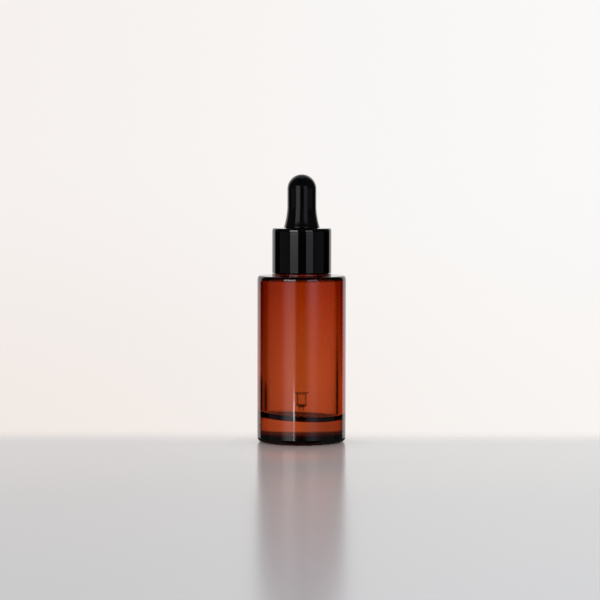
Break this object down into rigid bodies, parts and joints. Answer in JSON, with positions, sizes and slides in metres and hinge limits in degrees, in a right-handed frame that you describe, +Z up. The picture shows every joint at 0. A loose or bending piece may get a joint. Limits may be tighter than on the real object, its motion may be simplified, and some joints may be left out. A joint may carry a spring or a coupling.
{
  "type": "dropper bottle",
  "caption": "Cylindrical amber glass bottle with a heavy base, a gloss black screw collar, a black rubber bulb and a glass pipette.",
  "frame": {"origin": "centre of the standing ring under the bottle, on the surface it stands on", "axes": "+Z up along the bottle's axis; X and Y are square to it, and the pictured front faces -Y"},
  "size_m": [0.0334, 0.0334, 0.1006],
  "materials": {
    "amber_glass": "amber stain on polished clear glass",
    "natural_polyethylene": "natural moulded polyethylene",
    "black_rubber": "satin moulded rubber",
    "clear_glass": "clear drawn tube",
    "gloss_black_plastic": "high gloss black",
    "black_polypropylene": "black moulded polypropylene"
  },
  "bodies": {
    "bottle": {"glass_bottle": "amber_glass", "neck_wiper": "natural_polyethylene"},
    "dropper": {"rubber_bulb": "black_rubber", "glass_pipette": "clear_glass"},
    "collar": {"inner_cap": "black_polypropylene", "collar_shell": "gloss_black_plastic"}
  },
  "joints": [
    {"name": "dropper_lift", "type": "slide", "parent": "bottle", "child": "dropper", "axis": [0, 0, 1], "range_m": [0, 0.07]},
    {"name": "collar_unscrew", "type": "hinge", "parent": "dropper", "child": "collar", "pos_m": [0, 0, 0.06365], "axis": [0, 0, 1], "range_deg": [0, 720]}
  ]
}
